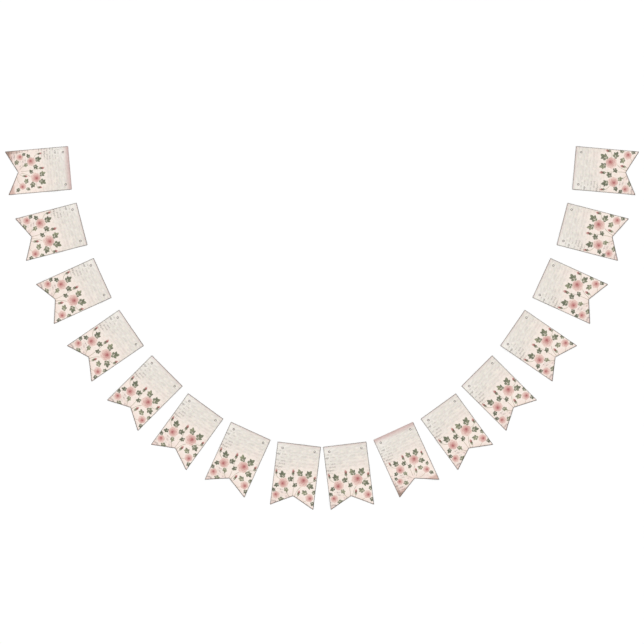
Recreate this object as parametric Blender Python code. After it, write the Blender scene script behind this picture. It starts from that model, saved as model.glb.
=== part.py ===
"""Cloth bunting: sixteen swallowtail flags laid face up on a flat surface, in a U.

Metres, +Z up. The surface is z = 0, the open side of the U points along +Y, and the
origin is the middle of the whole layout. Each flag is one piece of cloth with two
punched holes for a cord near its top corners.
"""

from math import cos, pi, radians, sin
from typing import NamedTuple

import bpy
from mathutils import Matrix, Vector

# One flag, measured upright with its top edge up.
FLAG_WIDTH = 0.127
FLAG_LENGTH = 0.185  # top edge to the tips of the tails
NOTCH_DEPTH = 0.033  # tips of the tails up to the point of the notch
CLOTH_THICKNESS = 0.001

# The punched cord holes.
HOLE_RADIUS = 0.0032
HOLE_INSET = 0.0165  # from the top edge, and from each side edge, to the hole's centre
HOLE_SIDES = 24


class Place(NamedTuple):
    """Where the middle of a flag's top edge lies, and how far the flag is turned."""

    across: float  # metres to the right of the U's centre line
    rise: float  # metres above the top edges of the two middle flags
    turn: float  # degrees, anticlockwise seen from above


# The right half of the U, from its middle to its end. The left half mirrors it.
RIGHT_HALF = (
    Place(across=0.066, rise=0.000, turn=7.0),
    Place(across=0.207, rise=0.039, turn=24.5),
    Place(across=0.338, rise=0.111, turn=36.0),
    Place(across=0.450, rise=0.214, turn=45.0),
    Place(across=0.554, rise=0.339, turn=55.5),
    Place(across=0.638, rise=0.484, turn=65.5),
    Place(across=0.698, rise=0.641, turn=75.5),
    Place(across=0.733, rise=0.804, turn=85.0),
)

CLOTH_COLOUR = (0.84, 0.76, 0.69, 1.0)
CLOTH_ROUGHNESS = 0.9


def clear_scene():
    for obj in list(bpy.data.objects):
        bpy.data.objects.remove(obj, do_unlink=True)


def flag_outline():
    """The swallowtail, with the middle of the top edge at the origin and the tails along -Y."""
    half = FLAG_WIDTH / 2
    return [
        (-half, 0.0),
        (-half, -FLAG_LENGTH),
        (0.0, NOTCH_DEPTH - FLAG_LENGTH),
        (half, -FLAG_LENGTH),
        (half, 0.0),
    ]


def hole_outline(side):
    """The round hole at the left (-1) or right (+1) top corner."""
    middle_x = side * (FLAG_WIDTH / 2 - HOLE_INSET)
    angles = [2 * pi * step / HOLE_SIDES for step in range(HOLE_SIDES)]
    return [
        (middle_x + HOLE_RADIUS * cos(angle), HOLE_RADIUS * sin(angle) - HOLE_INSET)
        for angle in angles
    ]


def add_closed_line(curve, points):
    spline = curve.splines.new("POLY")
    spline.points.add(len(points) - 1)
    for corner, (x, y) in zip(spline.points, points):
        corner.co = (x, y, 0.0, 1.0)
    spline.use_cyclic_u = True


def cloth_material():
    material = bpy.data.materials.new("printed_cotton")
    material.use_nodes = True
    shader = material.node_tree.nodes["Principled BSDF"]
    shader.inputs["Base Color"].default_value = CLOTH_COLOUR
    shader.inputs["Roughness"].default_value = CLOTH_ROUGHNESS
    shader.inputs["Metallic"].default_value = 0.0
    return material


def flag_pattern():
    """The cut that every flag shares: a flat outline with two holes, filled and given its thickness."""
    curve = bpy.data.curves.new("swallowtail_flag", "CURVE")
    curve.dimensions = "2D"
    curve.fill_mode = "BOTH"
    curve.extrude = CLOTH_THICKNESS / 2
    add_closed_line(curve, flag_outline())
    for side in (-1, 1):
        add_closed_line(curve, hole_outline(side))
    curve.materials.append(cloth_material())
    return curve


def whole_u():
    """All the places, from the left end of the U to its right end."""
    left_half = [Place(-p.across, p.rise, -p.turn) for p in reversed(RIGHT_HALF)]
    return left_half + list(RIGHT_HALF)


def middle_height(places):
    """The height halfway between the lowest tail tip and the highest corner of the layout."""
    heights = []
    for place in places:
        turn = Matrix.Rotation(radians(place.turn), 2)
        for corner in flag_outline():
            heights.append(place.rise + (turn @ Vector(corner)).y)
    return (min(heights) + max(heights)) / 2


def build():
    clear_scene()
    bunting = bpy.data.collections.new("bunting")
    bpy.context.scene.collection.children.link(bunting)
    layout = bpy.data.objects.new("layout", None)
    bunting.objects.link(layout)
    places = whole_u()
    layout.location = (0.0, -middle_height(places), CLOTH_THICKNESS / 2)
    pattern = flag_pattern()
    for number, place in enumerate(places, start=1):
        flag = bpy.data.objects.new(f"flag_{number:02d}", pattern)
        flag.parent = layout
        flag.location = (place.across, place.rise, 0.0)
        flag.rotation_euler.z = radians(place.turn)
        bunting.objects.link(flag)


build()
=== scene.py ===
# %% [markdown]
# # A cloth bunting: sixteen printed flags laid in a U
#
# The object is a garland of swallowtail flags, cut from printed cotton, overcast along their
# edges and punched with two cord holes each. They lie face up on a pale surface. The packed
# solids give the true sizes and places. This script dresses them: each plain solid is
# replaced by a thin woven cloth with real stitches along its edge.

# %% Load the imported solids
from math import atan2, cos, hypot, pi, radians, sin
from typing import NamedTuple

import bpy
import numpy as np
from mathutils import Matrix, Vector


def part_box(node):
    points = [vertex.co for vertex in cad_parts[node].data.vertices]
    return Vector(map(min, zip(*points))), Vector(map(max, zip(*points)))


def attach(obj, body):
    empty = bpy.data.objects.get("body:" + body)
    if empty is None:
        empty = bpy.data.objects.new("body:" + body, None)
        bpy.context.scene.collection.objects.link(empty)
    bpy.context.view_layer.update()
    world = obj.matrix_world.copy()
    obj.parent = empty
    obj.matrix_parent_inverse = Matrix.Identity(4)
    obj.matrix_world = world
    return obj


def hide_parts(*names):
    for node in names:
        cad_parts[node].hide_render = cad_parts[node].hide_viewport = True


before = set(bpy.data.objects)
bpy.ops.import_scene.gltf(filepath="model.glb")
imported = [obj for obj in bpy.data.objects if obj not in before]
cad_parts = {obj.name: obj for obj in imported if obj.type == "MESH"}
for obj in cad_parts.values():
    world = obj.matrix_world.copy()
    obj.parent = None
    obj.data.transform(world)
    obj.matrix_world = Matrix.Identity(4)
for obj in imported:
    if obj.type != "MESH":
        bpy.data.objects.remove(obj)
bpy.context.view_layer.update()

# %% [markdown]
# ## The camera
#
# The flags are seen face on, so the camera looks straight down. A long lens keeps the outer
# flags as square to the eye as the middle ones. The height follows from the width of surface
# that the picture shows, and the camera stands a little towards the open side of the U,
# because the picture has more room above the flags than below.

# %% Set up the camera
PICTURE_WIDTH = 1.8734
PICTURE_MIDDLE_Y = 0.0176
LENS_MM = 85.0
SENSOR_MM = 36.0

camera_height = PICTURE_WIDTH * LENS_MM / SENSOR_MM
bpy.ops.object.camera_add(location=(0.0, PICTURE_MIDDLE_Y, camera_height), rotation=(0.0, 0.0, 0.0))
camera = bpy.context.object
camera.data.lens = LENS_MM
camera.data.sensor_width = SENSOR_MM
bpy.context.scene.camera = camera
print("camera", round(camera_height, 3), "m above the surface")

# %% [markdown]
# ## Floor and light
#
# Flat cloth on white wants light from all round, so that nothing throws a hard shadow. A pale
# world does most of it. One broad sun stands high on the upper left, wide enough to have soft
# edges, and shows the swells of the cloth and the roundness of the thread.

# %% Lay the floor and light it
FLOOR_SIZE = 14.0
FLOOR_WHITE = (0.93, 0.93, 0.93, 1.0)
FLOOR_ROUGHNESS = 0.9
SKY_STRENGTH = 0.74
SUN_STRENGTH = 1.18
SUN_WIDTH = radians(26)
SUN_TILT = (radians(-12), radians(-11), 0.0)

bpy.context.scene.view_settings.view_transform = "Standard"
world = bpy.data.worlds.new("pale_room")
bpy.context.scene.world = world
world.use_nodes = True
sky = world.node_tree.nodes["Background"]
sky.inputs["Color"].default_value = (1.0, 1.0, 1.0, 1.0)
sky.inputs["Strength"].default_value = SKY_STRENGTH

bpy.ops.object.light_add(type="SUN", rotation=SUN_TILT)
bpy.context.object.data.energy = SUN_STRENGTH
bpy.context.object.data.angle = SUN_WIDTH

bpy.ops.mesh.primitive_plane_add(size=FLOOR_SIZE)
floor = bpy.context.object
floor.name = "floor"
floor.data.materials.append(bpy.data.materials.new("floor_white"))
floor.data.materials[0].use_nodes = True
floor_shader = floor.data.materials[0].node_tree.nodes["Principled BSDF"]
floor_shader.inputs["Base Color"].default_value = FLOOR_WHITE
floor_shader.inputs["Roughness"].default_value = FLOOR_ROUGHNESS

# %% [markdown]
# ## The cut of one flag
#
# Every flag has the same cut: a swallowtail 127 mm wide and 185 mm long, with a notch 33 mm
# deep, and a hole near each top corner. One is modelled flat, with the middle of its top edge
# at the origin and its tails along -Y, and the others are copies of it. The thread that is
# sewn round a hole draws its punched edge in by nearly a millimetre.
#
# The cloth starts as a grid of small squares, because the swells come later and need points to
# move. Only the right half is modelled. A bisect cuts the slope of the notch, a Boolean
# punches the hole, Mirror makes the left half, and Solidify gives the thickness. The printed
# face and the bare underside are two material slots of one piece.

# %% Model half of the flag's cloth
FLAG_WIDTH = 0.127
FLAG_LENGTH = 0.185
NOTCH_DEPTH = 0.033
HOLE_INSET = 0.0165
CLOTH_THICKNESS = 0.0006
THREAD_WIDTH = 0.00058
THREAD_THICKNESS = 0.00024
ROLL_RADIUS = 0.00032
WRAP_RADIUS = ROLL_RADIUS + THREAD_THICKNESS / 2
EDGE_INSET = WRAP_RADIUS + THREAD_THICKNESS / 2
GRID_CELL = 0.0026
CORNER_ROUND = 0.0010
CORNER_STEPS = 3
MERGE_DISTANCE = 0.00001

half_width = FLAG_WIDTH / 2
slope = hypot(half_width, NOTCH_DEPTH)


def only(obj):
    """Makes obj the one selected and active object."""
    bpy.ops.object.select_all(action="DESELECT")
    obj.select_set(True)
    bpy.context.view_layer.objects.active = obj


def apply_modifier(obj, kind, **settings):
    """Adds a modifier with these settings and applies it."""
    only(obj)
    modifier = obj.modifiers.new(kind.lower(), kind)
    for name, value in settings.items():
        setattr(modifier, name, value)
    bpy.ops.object.modifier_apply(modifier=modifier.name)


def notch_corners(inset):
    """The notch's point and the right tail's tip, moved in from the cut edge by inset."""
    point = (0.0, NOTCH_DEPTH - FLAG_LENGTH + inset * slope / half_width)
    tip_x = half_width - inset
    return point, (tip_x, point[1] - tip_x * NOTCH_DEPTH / half_width)


def grid_half(width, length):
    """A flat grid from the flag's middle line to its right edge, left open for more cuts."""
    bpy.ops.object.select_all(action="DESELECT")
    bpy.ops.mesh.primitive_grid_add(
        x_subdivisions=round(width / GRID_CELL), y_subdivisions=round(length / GRID_CELL), size=1.0
    )
    bpy.ops.object.mode_set(mode="EDIT")
    bpy.ops.transform.resize(value=(width, length, 1.0))
    bpy.ops.transform.translate(value=(width / 2, -EDGE_INSET - length / 2, 0.0))
    return bpy.context.object


def select_points(obj, wanted):
    """Selects the points of obj, open in edit mode, whose place is wanted."""
    bpy.ops.mesh.select_mode(type="VERT")
    bpy.ops.mesh.select_all(action="DESELECT")
    bpy.ops.object.mode_set(mode="OBJECT")
    for vertex in obj.data.vertices:
        vertex.select = wanted(vertex.co)
    bpy.ops.object.mode_set(mode="EDIT")


flag_cloth = grid_half(half_width - EDGE_INSET, FLAG_LENGTH - EDGE_INSET)
notch_point, tail_tip = notch_corners(EDGE_INSET)
bpy.ops.mesh.bisect(
    plane_co=(*notch_point, 0.0), plane_no=(NOTCH_DEPTH / slope, half_width / slope, 0.0),
    clear_inner=True, threshold=MERGE_DISTANCE,
)
side_edge = half_width - EDGE_INSET - MERGE_DISTANCE
side_top = -EDGE_INSET - MERGE_DISTANCE
side_foot = tail_tip[1] + MERGE_DISTANCE
select_points(flag_cloth, lambda spot: spot.x > side_edge and not side_foot < spot.y < side_top)
print("corners to round:", flag_cloth.data.total_vert_sel)
bpy.ops.mesh.bevel(offset=CORNER_ROUND, segments=CORNER_STEPS, affect="VERTICES")
bpy.ops.object.mode_set(mode="OBJECT")
print("half a flag:", len(flag_cloth.data.vertices), "points")

# %% Punch the hole, mirror the half and give it its thickness
EYELET_RADIUS = 0.0023
HOLE_SIDES = 32
PUNCH_DEPTH = 0.01

hole_x = half_width - HOLE_INSET
bpy.ops.mesh.primitive_cylinder_add(
    vertices=HOLE_SIDES, radius=EYELET_RADIUS, depth=PUNCH_DEPTH, location=(hole_x, -HOLE_INSET, 0)
)
punch = bpy.context.object
apply_modifier(flag_cloth, "BOOLEAN", operation="DIFFERENCE", solver="EXACT", object=punch)
bpy.data.objects.remove(punch, do_unlink=True)
apply_modifier(flag_cloth, "MIRROR", merge_threshold=MERGE_DISTANCE)
if flag_cloth.data.polygons[0].normal.z < 0:
    flag_cloth.data.flip_normals()
for side in ("printed_face", "bare_underside"):
    flag_cloth.data.materials.append(bpy.data.materials.new(side))
apply_modifier(
    flag_cloth, "SOLIDIFY", thickness=CLOTH_THICKNESS, offset=0.0, material_offset=1,
    material_offset_rim=1,
)
print("whole flag:", len(flag_cloth.data.polygons), "faces")

# %% [markdown]
# ## The overcast edge
#
# A fine warm grey thread runs over and over the raw edge of each flag, which rolls it into a
# narrow cord. It could be a bump in the cloth's material, but it stands proud of the cloth
# and catches the light, so it is made of real stitches: one is modelled, then repeated along
# a line that follows the edge.
#
# The stitch is a flattened loop of thread. A small open square is extruded along the printed
# face, spun half round the rolled edge and extruded back under the cloth. The notch is where
# a flag would fray first, so its stitches are longer and closer, and its outline is darker.

# %% Model one stitch
LEG_ON_FACE = 0.0014
LEG_UNDER = 0.00085
STITCH_SLANT = 0.00045
WRAP_STEPS = 4


def extrude_edges(move):
    bpy.ops.mesh.extrude_edges_move(TRANSFORM_OT_translate={"value": move})


def model_stitch():
    """One loop of thread round an edge that runs along Y, with the cloth on the -X side."""
    start = (-LEG_ON_FACE, 0.0, WRAP_RADIUS)
    bpy.ops.object.select_all(action="DESELECT")
    bpy.ops.mesh.primitive_circle_add(
        vertices=4, radius=0.5, fill_type="NOTHING", location=start, rotation=(0.0, pi / 2, 0.0)
    )
    bpy.ops.object.transform_apply(location=True, rotation=True, scale=True)
    bpy.ops.object.mode_set(mode="EDIT")
    bpy.ops.transform.resize(value=(1.0, THREAD_WIDTH, THREAD_THICKNESS), center_override=start)
    extrude_edges((LEG_ON_FACE, STITCH_SLANT, 0.0))
    bpy.ops.mesh.spin(steps=WRAP_STEPS, angle=pi, center=(0.0, 0.0, 0.0), axis=(0.0, -1.0, 0.0))
    extrude_edges((-LEG_UNDER, STITCH_SLANT, 0.0))
    bpy.ops.mesh.select_all(action="SELECT")
    bpy.ops.mesh.remove_doubles(threshold=MERGE_DISTANCE)
    bpy.ops.mesh.fill_holes(sides=0)
    bpy.ops.mesh.normals_make_consistent(inside=False)
    bpy.ops.object.mode_set(mode="OBJECT")
    return bpy.context.object


stitch = model_stitch()
stitch_mm = [round(1000 * side, 2) for side in stitch.dimensions]
print("one stitch:", len(stitch.data.polygons), "faces,", stitch_mm, "mm")

# %% [markdown]
# ## Stitches all the way round
#
# The stitches follow one closed line just inside the cut edge. The line starts as the five
# corners of the swallowtail. It is stepped along finely and each step is averaged with its
# neighbours, which eases the corners the way thread does. Then it is divided, more closely
# along the notch, and each place gets the direction that leads out of the cloth. A hole's
# line is a circle walked the other way, so that out of the cloth means into the hole.

# %% Find the places of the stitches
STITCH_PITCH = 0.0013
HOLE_STITCH_PITCH = 0.00062
NOTCH_CLOSENESS = 1.4  # stitches along the notch for each one along a side
NOTCH_LEG_SHARE = 1.35
FINE_STEP = 0.0001
CORNER_EASING = 0.0010


class Route(NamedTuple):
    """Places along a closed line, and the direction out of the cloth at each."""

    spots: np.ndarray
    outward: np.ndarray


def spread(line, pitch, closeness=1.0):
    """Places about pitch apart along a closed line, or nearer where closeness is above 1."""
    closed = np.vstack([line, line[:1]])
    run = np.concatenate([[0.0], np.cumsum(closeness * np.hypot(*np.diff(closed, axis=0).T))])
    count = round(run[-1] / pitch)
    along = np.arange(count) * run[-1] / count
    return np.column_stack([np.interp(along, run, closed[:, axis]) for axis in (0, 1)])


def in_notch(spots):
    """1 for each place on the two slopes of the notch, and 0 for the others."""
    above_point = spots[:, 1] > NOTCH_DEPTH - FLAG_LENGTH + 2 * EDGE_INSET
    on_side = abs(spots[:, 0]) > half_width - 3 * EDGE_INSET
    return np.where(above_point | on_side, 0.0, 1.0)


def edge_route(corners, pitch, easing):
    """The stitch line through these corners, with the cloth on its left."""
    line = spread(np.array(corners), FINE_STEP)
    reach = round(easing / FINE_STEP)
    near = [np.roll(line, step, axis=0) for step in range(-reach, reach + 1)]
    eased = np.mean(near, axis=0)
    spots = spread(eased, pitch, 1.0 + (NOTCH_CLOSENESS - 1.0) * in_notch(eased))
    ahead = np.roll(spots, -1, axis=0) - np.roll(spots, 1, axis=0)
    return Route(spots, np.arctan2(-ahead[:, 0], ahead[:, 1]))


def swallowtail(inset):
    """The five corners of the flag, moved in by inset, anticlockwise from the top left."""
    point, tip = notch_corners(inset)
    return [(-tip[0], -inset), (-tip[0], tip[1]), point, tip, (tip[0], -inset)]


def hole_circle(side):
    """The stitch line of the left (-1) or right (+1) hole, clockwise."""
    angles = [-2 * pi * step / HOLE_SIDES for step in range(HOLE_SIDES)]
    return [
        (side * hole_x + EYELET_RADIUS * cos(angle), EYELET_RADIUS * sin(angle) - HOLE_INSET)
        for angle in angles
    ]


flag_edge = edge_route(swallowtail(EDGE_INSET), STITCH_PITCH, CORNER_EASING)
hole_edges = [edge_route(hole_circle(side), HOLE_STITCH_PITCH, 0.0) for side in (-1, 1)]
print("stitches", len(flag_edge.spots), "round the flag,", len(hole_edges[0].spots), "round a hole")

# %% [markdown]
# Hundreds of stitches are too many to copy one by one with operators. Their points are turned
# and moved as arrays, and all of one flag's thread becomes one mesh. A curve with a round
# bevel fills the roll under the stitches. Each point also remembers how far along its thread
# it lies, so that the material can wind the thread's ply round it.

# %% Repeat the stitch along the routes
HOLE_LEG_SHARE = 0.62  # the stitches round a hole have shorter legs
ROLL_ROUNDNESS = 1


class Strand(NamedTuple):
    """Some thread: its points, its faces as point numbers, and its ply's place at each point."""

    points: np.ndarray
    faces: list
    ply: np.ndarray


def points_of(mesh):
    """The points of a mesh as rows of x, y and z."""
    points = np.empty(3 * len(mesh.vertices), np.float32)
    mesh.vertices.foreach_get("co", points)
    return points.reshape(-1, 3).astype(float)


def from_lowest(face):
    """A face's point numbers, turned round to start at the lowest."""
    first = face.index(min(face))
    return face[first:] + face[:first]


def faces_of(mesh, copies=1):
    """The faces of a mesh, sorted to be alike each run, and of copies whose points follow on."""
    faces = sorted(from_lowest(tuple(face.vertices)) for face in mesh.polygons)
    starts = [copy * len(mesh.vertices) for copy in range(copies)]
    return [tuple(start + corner for corner in face) for start in starts for face in faces]


def along_thread(points):
    """How far along its thread each point of a stitch lies, on a slant across the thread."""
    across, along, height = points.T
    round_the_edge = WRAP_RADIUS * np.arctan2(np.maximum(across, 0.0), height)
    leg = np.where(height > 0.0, 1.0, -1.0) * np.minimum(across, 0.0)
    return round_the_edge + leg + along


def stitches_along(route, leg_shares):
    """A stitch at each place of the route, with its +X turned out of the cloth."""
    points = points_of(stitch.data)
    copies = len(route.spots)
    reach = points[:, 0] * np.where(points[:, 0] < 0.0, leg_shares[:, None], 1.0)
    across, along = np.cos(route.outward)[:, None], np.sin(route.outward)[:, None]
    x = across * reach - along * points[:, 1] + route.spots[:, :1]
    y = along * reach + across * points[:, 1] + route.spots[:, 1:]
    z = np.tile(points[:, 2], (copies, 1))
    repeated = np.stack([x, y, z], axis=-1).reshape(-1, 3)
    return Strand(repeated, faces_of(stitch.data, copies), np.tile(along_thread(points), copies))


def rolled_edge(route):
    """A thin round roll along the route, under the stitches."""
    curve = bpy.data.curves.new("rolled_edge", "CURVE")
    curve.dimensions = "3D"
    curve.bevel_depth = ROLL_RADIUS
    curve.bevel_resolution = ROLL_ROUNDNESS
    spline = curve.splines.new("POLY")
    spline.points.add(len(route.spots) - 1)
    for point, (x, y) in zip(spline.points, route.spots):
        point.co = (x, y, 0.0, 1.0)
    spline.use_cyclic_u = True
    roll = bpy.data.objects.new("rolled_edge", curve)
    bpy.context.collection.objects.link(roll)
    only(roll)
    bpy.ops.object.convert(target="MESH")
    points = points_of(roll.data)
    strand = Strand(points, faces_of(roll.data), points.sum(axis=1))
    bpy.data.objects.remove(roll, do_unlink=True)
    return strand


def joined(strands):
    """Several strands as one."""
    starts = np.cumsum([0] + [len(strand.points) for strand in strands])
    faces = [
        tuple(int(start) + corner for corner in face)
        for start, strand in zip(starts, strands)
        for face in strand.faces
    ]
    points = np.vstack([strand.points for strand in strands])
    return Strand(points, faces, np.concatenate([strand.ply for strand in strands]))


edge_legs = 1.0 + (NOTCH_LEG_SHARE - 1.0) * in_notch(flag_edge.spots)
hole_legs = np.full(len(hole_edges[0].spots), HOLE_LEG_SHARE)
flag_thread = joined([
    rolled_edge(flag_edge),
    stitches_along(flag_edge, edge_legs),
    *(rolled_edge(edge) for edge in hole_edges),
    *(stitches_along(edge, hole_legs) for edge in hole_edges),
])
bpy.data.objects.remove(stitch, do_unlink=True)
print("one flag's thread:", len(flag_thread.faces), "faces")

# %% [markdown]
# ## Sums with nodes
#
# The print, the weave and the thread's ply are patterns made of sums, and each sum in a
# material is a Math node. Wiring hundreds by hand hides the idea. So one small class stands
# for the output of a node and knows the signs + - * /: writing 1 - mask adds a Subtract node
# and wires it up. Every other node comes from one method, which takes its kind, its settings
# and what its sockets hold.

# %% Make a board for each material
MIX_SOCKETS = {"FLOAT": (2, 3, 0), "VECTOR": (4, 5, 1), "RGBA": (6, 7, 2)}


class Wire:
    """The output of a node, ready for sums: each sum adds one Math node to the same board."""

    def __init__(self, board, socket):
        self.board = board
        self.socket = socket

    def __add__(self, other):
        return self.board.maths("ADD", self, other)

    def __sub__(self, other):
        return self.board.maths("SUBTRACT", self, other)

    def __rsub__(self, other):
        return self.board.maths("SUBTRACT", other, self)

    def __mul__(self, other):
        return self.board.maths("MULTIPLY", self, other)

    def __truediv__(self, other):
        return self.board.maths("DIVIDE", self, other)

    def __abs__(self):
        return self.board.maths("ABSOLUTE", self)

    __radd__ = __add__
    __rmul__ = __mul__


class Board:
    """The nodes of one material."""

    def __init__(self, material):
        self.material = material
        material.use_nodes = True
        self.shader = material.node_tree.nodes["Principled BSDF"]

    def node(self, kind, settings=None, values=(), output=0):
        """Adds a node: its settings first, then what goes into its sockets. Returns one output."""
        node = self.material.node_tree.nodes.new("ShaderNode" + kind)
        for name, setting in (settings or {}).items():
            if name == "stops":
                self.set_stops(node.color_ramp.elements, setting)
            else:
                setattr(node, name, setting)
        sockets = values.items() if isinstance(values, dict) else enumerate(values)
        for socket, value in sockets:
            self.feed(node.inputs[socket], value)
        return Wire(self, node.outputs[output])

    def set_stops(self, elements, stops):
        for _ in range(len(stops) - len(elements)):
            elements.new(1.0)
        for element, (position, colour) in zip(elements, stops):
            element.position = position
            element.color = colour

    def finish(self, settings):
        """Sets sockets of the shader that are the same all over the surface."""
        for name, value in settings.items():
            self.shader.inputs[name].default_value = value

    def raise_surface(self, strength, distance, height):
        """Feeds the shader's normal from a bump of this height."""
        values = {"Strength": strength, "Distance": distance, "Height": height}
        self.feed(self.shader.inputs["Normal"], self.node("Bump", {}, values))

    def feed(self, socket, value):
        if isinstance(value, Wire):
            self.material.node_tree.links.new(value.socket, socket)
        else:
            socket.default_value = value

    def maths(self, operation, *values, clamp=False):
        return self.node("Math", {"operation": operation, "use_clamp": clamp}, values)

    def vector(self, operation, *values, output=0):
        return self.node("VectorMath", {"operation": operation}, values, output)

    def scaled(self, vector, scale):
        return self.node("VectorMath", {"operation": "SCALE"}, {0: vector, "Scale": scale})

    def seen_from(self, vector, middle, turn, scale):
        """A place as seen from a middle, with X along the turn, in units of the scale."""
        values = [vector, (*middle, 0.0), (0.0, 0.0, turn), (*scale, 1.0)]
        return self.node("Mapping", {"vector_type": "TEXTURE"}, values)

    def mix(self, share, first, second, kind="RGBA"):
        """first where share is 0 and second where it is 1."""
        first_socket, second_socket, output = MIX_SOCKETS[kind]
        values = {0: share, first_socket: first, second_socket: second}
        return self.node("Mix", {"data_type": kind}, values, output)

    def within(self, distance, softness):
        """A mask: 1 where distance is above 0, and 0 below, with a soft edge of that width."""
        return self.maths("MULTIPLY_ADD", distance, 1.0 / softness, 0.5, clamp=True)

    def band(self, value, low, high, softness):
        """A mask: 1 from low to high and 0 beyond them, with soft ends."""
        return self.within(value - low, softness) * self.within(high - value, softness)

    def ramp(self, value, *stops):
        return self.node("ValToRGB", {"stops": stops}, [value])

    def split(self, vector):
        """The x and y of a vector."""
        parts = self.node("SeparateXYZ", {}, [vector]).socket.node
        return Wire(self, parts.outputs[0]), Wire(self, parts.outputs[1])

    def noise(self, place, scale, detail=2.0, output=0):
        values = {"Vector": place, "Scale": scale, "Detail": detail}
        return self.node("TexNoise", {"noise_dimensions": "2D"}, values, output)


# %% [markdown]
# ## Colours
#
# A colour in the list is what the eye sees on the lit cloth, as 0 to 255. The sky and the sun
# together light the flat cloth a little above 1, so each colour is turned into the paint that
# gives it under that light.

# %% Mix the colours
LIGHT_LEVEL = SKY_STRENGTH + SUN_STRENGTH * cos(SUN_TILT[0]) * cos(SUN_TILT[1]) / pi


def paint(red, green, blue):
    """The base colour that looks like this screen colour in the scene's light."""
    linear = [((part / 255 + 0.055) / 1.055) ** 2.4 for part in (red, green, blue)]
    return (*(part / LIGHT_LEVEL for part in linear), 1.0)


CREAM = paint(237, 231, 221)
CREAM_SHADE = paint(230, 223, 215)
BLEACHED = paint(245, 241, 235)
BLUSH = paint(247, 232, 222)
BLUSH_DEEP = paint(238, 214, 205)
PALE_HALO = paint(250, 238, 228)
BORDER_PINK = paint(215, 189, 184)
BORDER_ROSE = paint(214, 182, 171)
BORDER_BROWN = paint(166, 140, 127)
PEN_GREY = paint(112, 106, 100)
STEM_OLIVE = paint(146, 138, 106)
ROSE_HEART = paint(138, 52, 60)
ROSE_DEEP = paint(188, 114, 112)
ROSE_MID = paint(212, 164, 156)
ROSE_PALE = paint(229, 195, 185)
ROSE_LIP = paint(244, 223, 212)
LEAF_DARK = paint(72, 82, 60)
LEAF_MID = paint(108, 115, 87)
LEAF_LIGHT = paint(172, 174, 138)
PLAIN_COTTON = paint(236, 230, 218)
PLAIN_COTTON_SHADE = paint(222, 215, 202)
THREAD_GREY = paint(95, 82, 74)
THREAD_DARK = paint(66, 56, 50)
THREAD_LIGHT = paint(131, 118, 108)
THREAD_TAN = paint(104, 74, 26)

# %% [markdown]
# ## The print: where each motif goes
#
# The cloth is printed with a loose garland of pink roses, buds and leaves over the lower half,
# on a cream ground that blushes towards the tails. The garland is drawn with sums rather than
# with an image, so it stays sharp at any distance. A few rows place the motifs, in
# millimetres from the lower left corner of the flag.
#
# All roses share one drawing. For each point of the cloth, a Mapping node gives its place as
# seen from each rose in turn, and the nearest rose's view is kept, so four roses cost little
# more than one. The buds and the leaf sprays do the same.

# %% Place the roses, buds, leaves and stems


class Motif(NamedTuple):
    """A rose, bud or leaf spray: its middle, half its size, and its turn in degrees."""

    right: float
    up: float
    reach: float
    turn: float


class Stem(NamedTuple):
    """A thin stem between two ends, bowed to its left by a share of half its length."""

    from_right: float
    from_up: float
    to_right: float
    to_up: float
    bow: float


ROSES = (
    Motif(87, 79, 17.5, 20),
    Motif(33, 70, 15.5, 200),
    Motif(16, 31, 12, 100),
    Motif(112, 34, 12.5, 300),
)
BUDS = (
    Motif(57.2, 105.5, 6.6, 98),
    Motif(121.4, 93.5, 5.6, 82),
    Motif(80.4, 47.5, 6.2, 80),
    Motif(7.8, 101.5, 5.6, 104),
)
SPRAYS = (
    Motif(102.5, 100.5, 14.5, 54),
    Motif(77, 102, 13, 112),
    Motif(110, 68, 13, -26),
    Motif(67, 66.5, 9.5, 212),
    Motif(27, 91.5, 13.5, 103),
    Motif(51, 82, 11.5, 30),
    Motif(14, 61, 9.5, 205),
    Motif(42.5, 50.5, 9.5, -66),
    Motif(31, 21, 11, -34),
    Motif(7, 45.5, 8, 122),
    Motif(97.5, 47, 11, 138),
    Motif(124, 18, 9.5, -50),
    Motif(123.5, 51, 8.5, 60),
    Motif(57, 98, 6.5, 88),
    Motif(121.5, 87, 6, 78),
    Motif(79, 40.5, 6, 76),
    Motif(8.5, 95.5, 5.5, 84),
)
STEMS = (
    Stem(84, 63, 69, 32, -0.16),
    Stem(38, 56, 58, 28, -0.14),
    Stem(57, 95, 63, 32, 0.08),
    Stem(105, 25, 82, 19, 0.20),
    Stem(121, 84, 101, 80, 0.24),
    Stem(22, 22, 37, 9, 0.16),
    Stem(79, 37, 73, 27, 0.10),
    Stem(8, 92, 22, 78, -0.20),
)


def nearest(board, spot, motifs):
    """Each point's place as seen from the nearest of several motifs, in units of its reach."""
    kept = None
    for motif in motifs:
        middle = (motif.right, motif.up)
        view = board.seen_from(spot, middle, radians(motif.turn), (motif.reach, motif.reach))
        away = board.vector("LENGTH", view, output=1)
        if kept is None:
            kept, least = view, away
        else:
            kept = board.mix(board.maths("LESS_THAN", away, least), kept, view, "VECTOR")
            least = board.maths("MINIMUM", away, least)
    return kept, least


# %% [markdown]
# ## Drawing a rose
#
# A full garden rose is rings of petals, each ring smaller, deeper in colour and a little
# nearer to the heart, which sits off centre because the bloom is seen from one side. The edge
# of a ring is a circle with soft scallops, one for each petal. Inside its edge a petal is
# pale at the lip and darkens towards the next ring. The side away from the heart is paler
# still. The drawing gives a tone, and a colour ramp turns it into paint.

# %% Draw a rose


class PetalRing(NamedTuple):
    """A ring of petals: its reach as a share of the rose, its petals, its turn and its lean."""

    reach: float
    petals: int
    turn: float
    lean: float


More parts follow.
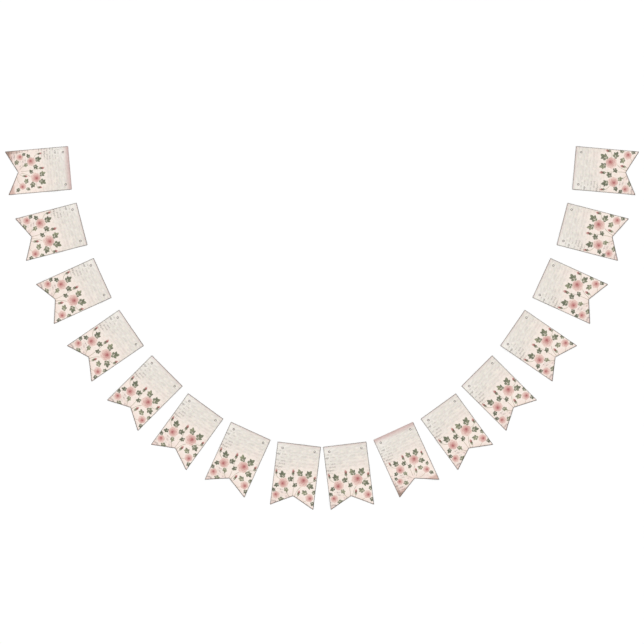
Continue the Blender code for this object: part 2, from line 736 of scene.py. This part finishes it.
PETAL_RINGS = (
    PetalRing(1.00, 6, 0.3, 0.00),
    PetalRing(0.82, 5, 1.1, 0.15),
    PetalRing(0.64, 5, 2.4, 0.40),
    PetalRing(0.47, 4, 0.7, 0.65),
    PetalRing(0.31, 3, 1.9, 0.90),
    PetalRing(0.16, 2, 0.2, 1.00),
)
ROSE_HEART_PLACE = (0.22, 0.14)
SCALLOP_DEPTH = 0.17
SCALLOP_ROUNDNESS = 0.6
PETAL_EDGE = 0.025
PETAL_SHADE = 3.0
PETAL_SHADE_START = 0.35
PETAL_GROOVE = 0.30
HEART_SHADE = 0.85
HEART_CLOSENESS = 1.6
LIT_SIDE = (-0.20, -0.12, 0.0)


def draw_rose(board, view):
    """The tone of the rose at each point, 0 in the folds and 1 at the lips, and its mask."""
    tone, outline = None, None
    for ring in PETAL_RINGS:
        middle = (ROSE_HEART_PLACE[0] * ring.lean, ROSE_HEART_PLACE[1] * ring.lean, 0.0)
        own = board.vector("SUBTRACT", view, middle)
        right, up = board.split(own)
        angle = board.maths("ARCTAN2", up, right)
        turned = board.maths("MULTIPLY_ADD", angle, ring.petals / 2, ring.turn)
        scallop = board.maths("POWER", abs(board.maths("COSINE", turned)), SCALLOP_ROUNDNESS)
        between = (1 - SCALLOP_DEPTH) * ring.reach
        edge = board.maths("MULTIPLY_ADD", scallop, SCALLOP_DEPTH * ring.reach, between)
        inside = edge - board.vector("LENGTH", own, output=1)
        cover = board.within(inside, PETAL_EDGE)
        shade = -PETAL_SHADE / (PETAL_SHADE_START + ring.reach)
        depth = board.maths("MULTIPLY_ADD", inside, shade, 1.0, clamp=True)
        petal = depth * board.maths("MULTIPLY_ADD", scallop, PETAL_GROOVE, 1 - PETAL_GROOVE)
        petal = petal * (1 - HEART_SHADE * (1 - ring.reach) ** HEART_CLOSENESS)
        if outline is None:
            tone, outline = petal, cover
        else:
            tone = board.mix(cover, tone, petal, "FLOAT")
    return tone + board.vector("DOT_PRODUCT", view, LIT_SIDE, output=1), outline


# %% [markdown]
# ## Drawing a bud
#
# A bud that hasn't opened is a pointed oval with its foot at -1 and its tip at 1. Its petals
# are wrapped round it, so their edges run up it on a slant, and a sine wave is enough for
# that. Green sepals cup it from below in three tongues, which a cosine across the bud cuts.

# %% Draw a bud
BUD_SLENDERNESS = 1.8
BUD_TAPER = 0.3
BUD_WRAPS = 4.6
BUD_TWIST = 2.4
BUD_EDGE = 0.15
SEPAL_TONGUES = 7.0
SEPAL_TOP = -0.3


def draw_bud(board, view):
    """The tone of the bud at each point, its mask and the mask of its sepals."""
    along, side = board.split(view)
    side = side * BUD_SLENDERNESS
    beyond = board.maths("MULTIPLY_ADD", along, along, abs(side) * (1.0 + BUD_TAPER * along))
    bud = board.within(1.0 - beyond, BUD_EDGE)
    wraps = board.maths("SINE", BUD_WRAPS * side + BUD_TWIST * along)
    tone = 0.42 + 0.24 * wraps + 0.20 * along
    tongues = board.maths("COSINE", SEPAL_TONGUES * side)
    sepals = bud * board.within(0.5 * tongues + SEPAL_TOP - along, BUD_EDGE)
    return tone, bud, sepals


# %% [markdown]
# ## Drawing a leaf spray
#
# A rose leaf is five leaflets on one stalk: one at the tip and two pairs that never quite
# match. Each leaflet is broad near its foot and pointed at its tip. Where leaflets meet, the
# one that covers the point best is kept, and a dark gap parts them. Its midrib and side veins
# are pale lines, and one half is lighter, as a brush would leave it.

# %% Draw a leaf spray


class Leaflet(NamedTuple):
    """A leaflet on a spray that runs from -1 to 1: its middle, half sizes and turn in degrees."""

    along: float
    side: float
    length: float
    width: float
    turn: float


LEAFLETS = (
    Leaflet(0.56, 0.02, 0.45, 0.30, 4),
    Leaflet(0.22, 0.37, 0.42, 0.26, 58),
    Leaflet(0.08, -0.37, 0.43, 0.28, -52),
    Leaflet(-0.30, 0.33, 0.36, 0.22, 66),
    Leaflet(-0.48, -0.28, 0.31, 0.20, -58),
)
LEAF_TAPER = 0.35
LEAF_EDGE = 0.12
LEAF_GAP = 0.13
MIDRIB_HALF_WIDTH = 0.09
VEIN_WAVES = 22.0
VEIN_SLANT = 0.7
SPRAY_REACH = 1.15
STALK_HALF_WIDTH = 0.035
STALK_TOP = 0.2


def draw_spray(board, view):
    """The tone of the leaves at each point, their mask and the stalk's mask."""
    kept, least, second = None, None, None
    for leaflet in LEAFLETS:
        middle = (leaflet.along, leaflet.side)
        own = board.seen_from(view, middle, radians(leaflet.turn), (leaflet.length, leaflet.width))
        along, side = board.split(own)
        narrowing = board.maths("MULTIPLY_ADD", along, LEAF_TAPER, 1.0)
        beyond = board.maths("MULTIPLY_ADD", along, along, abs(side) * narrowing)
        if kept is None:
            kept, least, second = own, beyond, 9.0
        else:
            kept = board.mix(board.maths("LESS_THAN", beyond, least), kept, own, "VECTOR")
            second = board.maths("MINIMUM", second, board.maths("MAXIMUM", beyond, least))
            least = board.maths("MINIMUM", beyond, least)
    along, side = board.split(kept)
    gap = board.within(LEAF_GAP - (second - least), LEAF_EDGE)
    gap = gap * board.within(SPRAY_REACH - second, 0.2)
    near = board.within(SPRAY_REACH - board.vector("LENGTH", view, output=1), 0.1)
    leaves = board.within(1.0 - least, LEAF_EDGE) * near
    midrib = board.within(MIDRIB_HALF_WIDTH - abs(side), 0.10)
    veins = board.maths("SINE", VEIN_WAVES * (along - VEIN_SLANT * abs(side)))
    light_half = board.within(side, 0.25)
    tone = 0.30 + 0.30 * midrib + 0.10 * veins + 0.24 * light_half - 0.18 * least - 0.7 * gap
    stalk_along, stalk_side = board.split(view)
    stalk = board.within(STALK_HALF_WIDTH - abs(stalk_side), 0.03)
    stalk = stalk * board.band(stalk_along, -1.0, STALK_TOP, 0.05)
    return tone, leaves, stalk


# %% [markdown]
# ## Stems
#
# A stem is a shallow arc. Seen from the middle of its chord, with the chord along X from -1
# to 1, the arc is the parabola bow * (1 - x * x), and the distance to it is close enough to
# the height above or below it.

# %% Draw the stems
STEM_HALF_WIDTH = 0.55


def draw_stems(board, spot):
    """A mask of all the stems."""
    least = None
    for stem in STEMS:
        right, up = stem.to_right - stem.from_right, stem.to_up - stem.from_up
        half = hypot(right, up) / 2
        middle = (stem.from_right + right / 2, stem.from_up + up / 2)
        view = board.seen_from(spot, middle, atan2(up, right), (half, half))
        along, side = board.split(view)
        arc = board.maths("MULTIPLY_ADD", along * along, -stem.bow, stem.bow)
        past_end = abs(along) - 1.0
        away = half * board.maths("MAXIMUM", abs(side - arc), past_end)
        least = away if least is None else board.maths("MINIMUM", least, away)
    return board.within(STEM_HALF_WIDTH - least, 0.5)


# %% [markdown]
# ## Faint pen strokes
#
# Between the flowers the ground carries rows of faint grey strokes, darkest at the left edge,
# like an old ledger page that has nearly washed out. Each row is one leaning wave, whose
# height and pace noise varies and whose length noise breaks up, so it looks written and says
# nothing. Its distance is divided by its steepness, which keeps the line's width even. Away
# from the left edge the rows fade, and smudges lie over them: noise, stretched on a slope.

# %% Draw the pen strokes
ROW_PITCH = 9.2  # millimetres, like the other sizes here
ROW_SLOPE = 0.027
ROW_DRIFT = 6.0
WORD_SCALE = (0.10, 7.3)  # along a row, and from row to row
NERVE_SCALE = (0.30, 31.7)
WORD_SHARE = 0.47
STROKE_HALF_WIDTH = 0.36
STROKE_HEIGHT = 7.0
STROKE_WAVE = 2.7
STROKE_LEAN = 0.45
PAGE = (90.0, 162.0)
LEFT_MARGIN = 24.0
AWAY_FROM_LEFT = 0.24  # how much of the ink is left there
TAIL_PAGE = (48.0, 64.0)
SMUDGE_SIZE = (17.0, 5.0)
SMUDGE_SLOPE = radians(14)
SMUDGE_FROM = 0.58
SMUDGE_PAGE = (84.0, 200.0)
SMUDGE_SHARE = 0.13


def pen_rows(board, right, up):
    """A mask of the written rows."""
    rows = board.maths("MULTIPLY_ADD", up, 1.0 / ROW_PITCH, (ROW_SLOPE / ROW_PITCH) * right)
    row = board.maths("FLOOR", rows)
    words, nerve = (
        board.noise(board.node("CombineXYZ", {}, [along * right, apart * row]), 1.0)
        for along, apart in (WORD_SCALE, NERVE_SCALE)
    )
    rise = ROW_PITCH * (rows - row - 0.5) + ROW_DRIFT * (words - 0.5)
    leaning = right - STROKE_LEAN * rise
    height = board.maths("MULTIPLY_ADD", nerve, STROKE_HEIGHT, -0.3 * STROKE_HEIGHT)
    phase = leaning * (2 * pi / STROKE_WAVE) + 9.0 * nerve
    wave = height * board.maths("SINE", phase)
    steepness = height * board.maths("COSINE", phase) * (2 * pi / STROKE_WAVE)
    away = abs(rise - wave) / board.maths("SQRT", 1.0 + steepness * steepness)
    return board.within(STROKE_HALF_WIDTH - away, 0.3) * board.within(words - WORD_SHARE, 0.10)


def draw_strokes(board, spot):
    """How strongly the pen shows at each point."""
    right, up = board.split(spot)
    at_left = board.within(LEFT_MARGIN - right, 34.0)
    page = board.band(up, *PAGE, 16.0) * (AWAY_FROM_LEFT + (1 - AWAY_FROM_LEFT) * at_left)
    tail = 0.95 * board.within(TAIL_PAGE[1] - up, 20.0) * board.within(TAIL_PAGE[0] - right, 24.0)
    smudge_place = board.seen_from(spot, (0.0, 0.0), SMUDGE_SLOPE, SMUDGE_SIZE)
    smudges = board.within(board.noise(smudge_place, 1.0, 3.0) - SMUDGE_FROM, 0.22)
    smudges = SMUDGE_SHARE * smudges * board.band(up, *SMUDGE_PAGE, 24.0)
    return board.maths("MAXIMUM", pen_rows(board, right, up) * (page + tail), smudges)


# %% [markdown]
# ## The ground and the weave
#
# The cream ground is cloudy, greyer at the top and pinker towards the left tail. Noise, once
# in colour and once without, multiplies it by a little, for the stains and worn patches of
# old paper. The print was made a little larger than the flags: past the top edge it shades
# into dusty pink, past the tail tips into rose, and past the lower left side into brown. Two
# of the flags carry a smaller run of the print, and only they show these borders.
#
# Under the ink is plain cotton: threads over and under each other, 24 to the centimetre. Two
# sine waves give the roundness of the warp and the weft, and the sign of their product says
# which one lies on top. Where the weave is low, the colour is a little darker, which is painted
# shade between the threads, and a Bump node raises the weave.

# %% Draw the ground and the weave
THREAD_PITCH_MM = 0.42
WEAVE_RISE = 0.00005
CLOUD_SCALE = 0.022
CLOUD_REACH = 50.0  # millimetres by which the clouds push the edge of the blush
MOTTLE_SCALE = 0.11
RAGGED_REACH = 6.0
BLUSH_TOP = 128.0
BLUSH_MIDDLE = 98.0
BLUSH_ARCH = 0.16
BLUSH_FADE = 46.0
BLEACHED_FROM = 140.0  # up and to the left of this line
CORNER_TOP = 46.0
TOP_FADE = 16.0
TAIL_FADE = 8.0
STAIN_SCALE = 0.16
STAIN_LEAST = (0.938, 0.942, 0.934)
STAIN_REACH = (0.124, 0.116, 0.132)
WEAR_SCALE = (0.06, 0.15, 0.0)
WEAR_LEAST = 0.888
WEAR_REACH = 0.25
SLUB_SCALE = (0.25, 3.2)  # along a thread and across it
CLOTH_FINISH = {"Specular IOR Level": 0.25, "Sheen Weight": 0.08, "Sheen Roughness": 0.6}
LENGTH_MM = 1000 * FLAG_LENGTH


def draw_ground(board, spot):
    """The colour of the bare print."""
    right, up = board.split(spot)
    drift = CLOUD_REACH * (board.noise(spot, CLOUD_SCALE, 3.0) - 0.5)
    mottle = board.noise(spot, MOTTLE_SCALE, 3.0)
    cream = board.mix(board.within(mottle - 0.5, 0.5), CREAM_SHADE, CREAM)
    to_the_side = BLUSH_ARCH * abs(right - BLUSH_MIDDLE)
    low = board.within(BLUSH_TOP - up - to_the_side + drift, BLUSH_FADE)
    ground = board.mix(low, cream, BLUSH)
    bleached = board.within(up - right - BLEACHED_FROM, 60.0)
    ground = board.mix(0.6 * bleached, ground, BLEACHED)
    corner = board.within(CORNER_TOP - up - 0.35 * right + drift, 50.0)
    ground = board.mix(0.75 * corner, ground, BLUSH_DEEP)
    ragged = RAGGED_REACH * (mottle - 0.5)
    above = board.within(up - LENGTH_MM + 0.5 + ragged, TOP_FADE)
    ground = board.mix(above, ground, BORDER_PINK)
    below = board.within(4.0 - up + ragged, TAIL_FADE)
    ground = board.mix(below, ground, BORDER_ROSE)
    left_side = board.within(1.0 - right + ragged, 6.0) * board.within(20.0 - up, 50.0)
    left_tip = board.within(ragged - up - 0.4 * right, TAIL_FADE)
    brown = 0.85 * board.maths("MAXIMUM", left_side, left_tip)
    ground = board.mix(brown, ground, BORDER_BROWN)
    stain = board.noise(spot, STAIN_SCALE, 4.0, output=1)
    stain = board.vector("MULTIPLY_ADD", stain, STAIN_REACH, STAIN_LEAST)
    wear = board.noise(board.vector("MULTIPLY", spot, WEAR_SCALE), 1.0, 3.0)
    worn = board.scaled(stain, WEAR_LEAST + WEAR_REACH * wear)
    return board.vector("MULTIPLY", ground, worn)


def draw_weave(board, spot):
    """The height of a plain weave at each point, from 0 to 1."""
    right, up = board.split(spot)
    across = board.maths("SINE", right * (pi / THREAD_PITCH_MM))
    along = board.maths("SINE", up * (pi / THREAD_PITCH_MM))
    warp_on_top = board.within(across * along, 0.5)
    return board.mix(warp_on_top, abs(along), abs(across), "FLOAT")


def finish_cloth(board, colour, spot, weave):
    """Puts painted shade where the weave is low, sets the cloth's sheen and raises the weave."""
    slubs = board.noise(board.vector("MULTIPLY", spot, (*SLUB_SCALE, 0.0)), 1.0)
    slubs_up = board.noise(board.vector("MULTIPLY", spot, (*reversed(SLUB_SCALE), 0.0)), 1.0)
    # the weave term is painted shade in the low parts of the weave; the slubs vary the tone at
    # random
    weave_shade_and_slubs = 0.965 + 0.05 * weave + 0.06 * (slubs - 0.5) + 0.06 * (slubs_up - 0.5)
    board.feed(board.shader.inputs["Base Color"], board.scaled(colour, weave_shade_and_slubs))
    board.feed(board.shader.inputs["Roughness"], 0.84 + 0.10 * slubs)
    board.finish(CLOTH_FINISH)
    board.raise_surface(0.6, WEAVE_RISE, weave + 0.5 * slubs)


# %% [markdown]
# ## The printed face and the bare underside
#
# Now the layers go down in the order of the print: ground, pen strokes, stems, leaves and
# roses. The motifs read their place through a slight wobble, which gives their edges the
# uneven line of a brush. The underside is the same cotton without ink.

# %% Print the face
WOBBLE_MM = 1.3
WOBBLE_SCALE = 0.17
BRUSH_SCALE = 0.9
SEASON_SCALE = 0.035
HALO_REACH = 1.25
INK_COVER = 0.95


def print_place(board):
    """Each point's place on the print, in millimetres from the flag's lower left corner."""
    return board.scaled(board.node("UVMap", {"uv_map": "print"}), LENGTH_MM)


def print_face(material):
    board = Board(material)
    spot = print_place(board)
    drift = board.noise(spot, WOBBLE_SCALE, 2.0, output=1)
    wobble = board.vector("MULTIPLY_ADD", drift, (WOBBLE_MM, WOBBLE_MM, 0.0), spot)
    brush = board.noise(spot, BRUSH_SCALE, 3.0)
    colour = draw_ground(board, spot)
    colour = board.mix(draw_strokes(board, spot), colour, PEN_GREY)
    rose_view, rose_away = nearest(board, wobble, ROSES)
    bud_view = nearest(board, wobble, BUDS)[0]
    spray_view, spray_away = nearest(board, wobble, SPRAYS)
    halo = board.within(HALO_REACH - board.maths("MINIMUM", rose_away, spray_away), 0.5)
    colour = board.mix(0.6 * halo, colour, PALE_HALO)
    colour = board.mix(0.85 * draw_stems(board, wobble), colour, STEM_OLIVE)
    leaf_tone, leaves, stalk = draw_spray(board, spray_view)
    colour = board.mix(0.7 * stalk, colour, STEM_OLIVE)
    season = board.noise(spot, SEASON_SCALE)
    leaf_colour = board.ramp(
        leaf_tone + 0.5 * (brush - 0.5) + 1.5 * (season - 0.5),
        (0.0, LEAF_DARK), (0.45, LEAF_MID), (1.0, LEAF_LIGHT),
    )
    colour = board.mix(0.93 * leaves, colour, leaf_colour)
    rose_tone, roses = draw_rose(board, rose_view)
    rose_colour = board.ramp(
        rose_tone + 0.22 * (brush - 0.5),
        (0.0, ROSE_HEART), (0.22, ROSE_DEEP), (0.45, ROSE_MID), (0.70, ROSE_PALE), (0.95, ROSE_LIP),
    )
    colour = board.mix(INK_COVER * roses, colour, rose_colour)
    bud_tone, buds, sepals = draw_bud(board, bud_view)
    bud_colour = board.ramp(
        bud_tone + 0.22 * (brush - 0.5),
        (0.0, ROSE_HEART), (0.4, ROSE_DEEP), (0.75, ROSE_MID), (1.0, ROSE_PALE),
    )
    colour = board.mix(INK_COVER * buds, colour, bud_colour)
    colour = board.mix(INK_COVER * sepals, colour, LEAF_DARK)
    finish_cloth(board, colour, spot, draw_weave(board, spot))
    return board


def bare_underside(material):
    board = Board(material)
    spot = print_place(board)
    mottle = board.noise(spot, 0.08, 3.0)
    colour = board.mix(mottle, PLAIN_COTTON_SHADE, PLAIN_COTTON)
    finish_cloth(board, colour, spot, draw_weave(board, spot))


face_board = print_face(flag_cloth.data.materials[0])
bare_underside(flag_cloth.data.materials[1])
print("nodes in the printed face:", len(face_board.material.node_tree.nodes))

# %% [markdown]
# ## The thread
#
# The thread is two plies of spun cotton, wound round each other, so fine diagonal grooves run
# along it. A sine wave of each point's place along the thread gives them: it lowers the groove
# between the plies and darkens it with painted shade. Slow noise varies the dye. Two more
# numbers colour it: round the holes, cords have worn it to an olive tan, and where the print's
# pink border runs over the top edge, the ink has dyed it pink.

# %% Finish the thread
PLY_TURN = 0.00055  # metres of thread for one turn of its ply
PLY_RISE = 0.00006
DYE_SCALE = 60.0
FIBRE_SCALE = 2500.0
THREAD_FINISH = {"Specular IOR Level": 0.3, "Sheen Weight": 0.15}


def finish_thread(material):
    board = Board(material)
    ply = board.node("Attribute", {"attribute_name": "ply"}, output=2)
    groove = 0.5 + 0.5 * board.maths("SINE", ply * (2 * pi / PLY_TURN))
    place = board.node("TexCoord", output=3)
    dye = board.noise(place, DYE_SCALE, 3.0)
    fibre = board.noise(place, FIBRE_SCALE, 2.0)
    # the groove term makes the low groove between the plies darker: painted shade; dye and fibre
    # vary the tone at random
    tone = 0.45 * groove + 0.40 * dye + 0.15 * fibre
    colour = board.ramp(tone, (0.15, THREAD_DARK), (0.5, THREAD_GREY), (0.9, THREAD_LIGHT))
    worn = board.node("Attribute", {"attribute_name": "worn"}, output=2)
    colour = board.mix(worn, colour, THREAD_TAN)
    inked = board.node("Attribute", {"attribute_name": "inked"}, output=2)
    colour = board.mix(0.8 * inked, colour, BORDER_PINK)
    board.feed(board.shader.inputs["Base Color"], colour)
    board.feed(board.shader.inputs["Roughness"], 0.62 + 0.2 * fibre)
    board.finish(THREAD_FINISH)
    board.raise_surface(0.5, PLY_RISE, groove + 0.4 * fibre)
    return material


thread_material = finish_thread(bpy.data.materials.new("edge_thread"))

# %% [markdown]
# ## Laying the flags
#
# The U is given by its right half: where the middle of each flag's top edge lies, and how far
# the flag is turned. The left half mirrors it. A finished piece keeps its object at the
# origin and has its place in its mesh, so each copy's points are turned and moved.
#
# Cotton that has been carried folded doesn't lie dead flat. Before a copy is placed, a few
# broad waves, different for each flag, lift parts of it by a millimetre or two, and its
# corners may lift a little more. The thread rides on the same waves.

# %% Find each flag's place


class Place(NamedTuple):
    """The middle of a flag's top edge, from the U's middle, and the flag's turn in degrees."""

    across: float
    rise: float
    turn: float


RIGHT_HALF = (
    Place(0.066, 0.000, 7.0),
    Place(0.207, 0.039, 24.5),
    Place(0.338, 0.111, 36.0),
    Place(0.450, 0.214, 45.0),
    Place(0.554, 0.339, 55.5),
    Place(0.638, 0.484, 65.5),
    Place(0.698, 0.641, 75.5),
    Place(0.733, 0.804, 85.0),
)
PLACE_TOLERANCE = 0.0005

places = [Place(-p.across, p.rise, -p.turn) for p in reversed(RIGHT_HALF)] + list(RIGHT_HALF)


def placed(points, place):
    """The points of a flag, turned and moved to their place in the U."""
    turn = radians(place.turn)
    x, y, z = points.T
    return np.column_stack([
        x * cos(turn) - y * sin(turn) + place.across,
        x * sin(turn) + y * cos(turn) + place.rise,
        z,
    ])


flat_corners = np.column_stack([np.array(swallowtail(0.0)), np.zeros(5)])
corner_heights = np.concatenate([placed(flat_corners, place)[:, 1] for place in places])
middle_height = (corner_heights.min() + corner_heights.max()) / 2
places = [place._replace(rise=place.rise - middle_height) for place in places]
for number, place in enumerate(places, start=1):
    low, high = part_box(f"flag_{number:02d}")
    corners = placed(flat_corners, place)
    off = max(abs(corners[:, 0].min() - low[0]), abs(corners[:, 1].max() - high[1]))
    assert off < PLACE_TOLERANCE, f"flag {number} isn't where its solid is"
print("all flags are where their solids are")

# %% Lay the cloth and thread of each flag
REST_HEIGHT = EDGE_INSET
SWELLS = 5
SWELL_LENGTHS = (0.055, 0.13)
SWELL_HEIGHT = 0.00055
SWELL_CALM = 2.2  # the larger, the fewer places are lifted
CORNER_LIFT = 0.0009
CORNER_REACH = 0.035
SMALL_PRINT_FLAGS = (1, 10)  # these carry the smaller run of the print
SMALL_PRINT_SHARE = 0.865
SMALL_PRINT_MIDDLE = np.array([half_width, 0.110]) / FLAG_LENGTH
PRINT_DRIFT = 0.004  # how far off a flag's print may be, as a share of its length
PRINT_SEED = 100


def swell(points, seed):
    """How far the laid cloth is lifted at each point."""
    random = np.random.default_rng(seed)
    x, y = points[:, 0], points[:, 1]
    waves = np.zeros(len(points))
    for _ in range(SWELLS):
        length = random.uniform(*SWELL_LENGTHS)
        heading = random.uniform(0.0, pi)
        phase = random.uniform(0.0, 2 * pi)
        waves += np.sin(2 * pi * (x * cos(heading) + y * sin(heading)) / length + phase)
    lift = SWELL_HEIGHT * np.maximum(waves / SWELL_CALM, 0.0) ** 2
    for corner in swallowtail(0.0):
        away = np.hypot(x - corner[0], y - corner[1])
        lift += random.uniform(0.0, CORNER_LIFT) * np.clip(1 - away / CORNER_REACH, 0.0, 1.0) ** 2
    return lift


def laid(points, number):
    lifted = points.copy()
    lifted[:, 2] += REST_HEIGHT + swell(points, seed=number)
    return placed(lifted, places[number - 1]).astype(np.float32)


def add_piece(name, mesh):
    piece = bpy.data.objects.new(name, mesh)
    bpy.context.scene.collection.objects.link(piece)
    mesh.shade_smooth()
    return piece


def print_map(mesh, points, number):
    """The cloth's UV map, in flag lengths from the lower left corner, with its small drift."""
    random = np.random.default_rng(PRINT_SEED + number)
    corner_points = np.empty(len(mesh.loops), np.int32)
    mesh.loops.foreach_get("vertex_index", corner_points)
    spots = (points[corner_points, :2] + (half_width, FLAG_LENGTH)) / FLAG_LENGTH
    if number in SMALL_PRINT_FLAGS:
        spots = SMALL_PRINT_MIDDLE + (spots - SMALL_PRINT_MIDDLE) / SMALL_PRINT_SHARE
    spots += random.uniform(-PRINT_DRIFT, PRINT_DRIFT, 2)
    layer = mesh.uv_layers.new(name="print")
    layer.data.foreach_set("uv", spots.astype(np.float32).ravel())


def lay_cloth(number):
    mesh = flag_cloth.data.copy()
    points = points_of(mesh)
    print_map(mesh, points, number)
    mesh.vertices.foreach_set("co", laid(points, number).ravel())
    return add_piece(f"flag_{number:02d}_cloth", mesh)


def lay_thread(number):
    mesh = bpy.data.meshes.new(f"flag_{number:02d}_thread")
    mesh.from_pydata(laid(flag_thread.points, number), [], flag_thread.faces)
    x, y = flag_thread.points[:, 0], flag_thread.points[:, 1]
    worn = np.hypot(abs(x) - hole_x, y + HOLE_INSET) < 2 * EYELET_RADIUS
    inked = (y > -2 * LEG_ON_FACE) & (number in SMALL_PRINT_FLAGS)
    for name, values in (("ply", flag_thread.ply), ("worn", worn), ("inked", inked)):
        attribute = mesh.attributes.new(name, "FLOAT", "POINT")
        attribute.data.foreach_set("value", values.astype(np.float32))
    mesh.materials.append(thread_material)
    return add_piece(f"flag_{number:02d}_thread", mesh)


for number in range(1, len(places) + 1):
    cloth = lay_cloth(number)
    thread = lay_thread(number)
    for piece in (cloth, thread):
        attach(piece, "root")
        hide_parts(f"flag_{number:02d}")
bpy.data.objects.remove(flag_cloth, do_unlink=True)
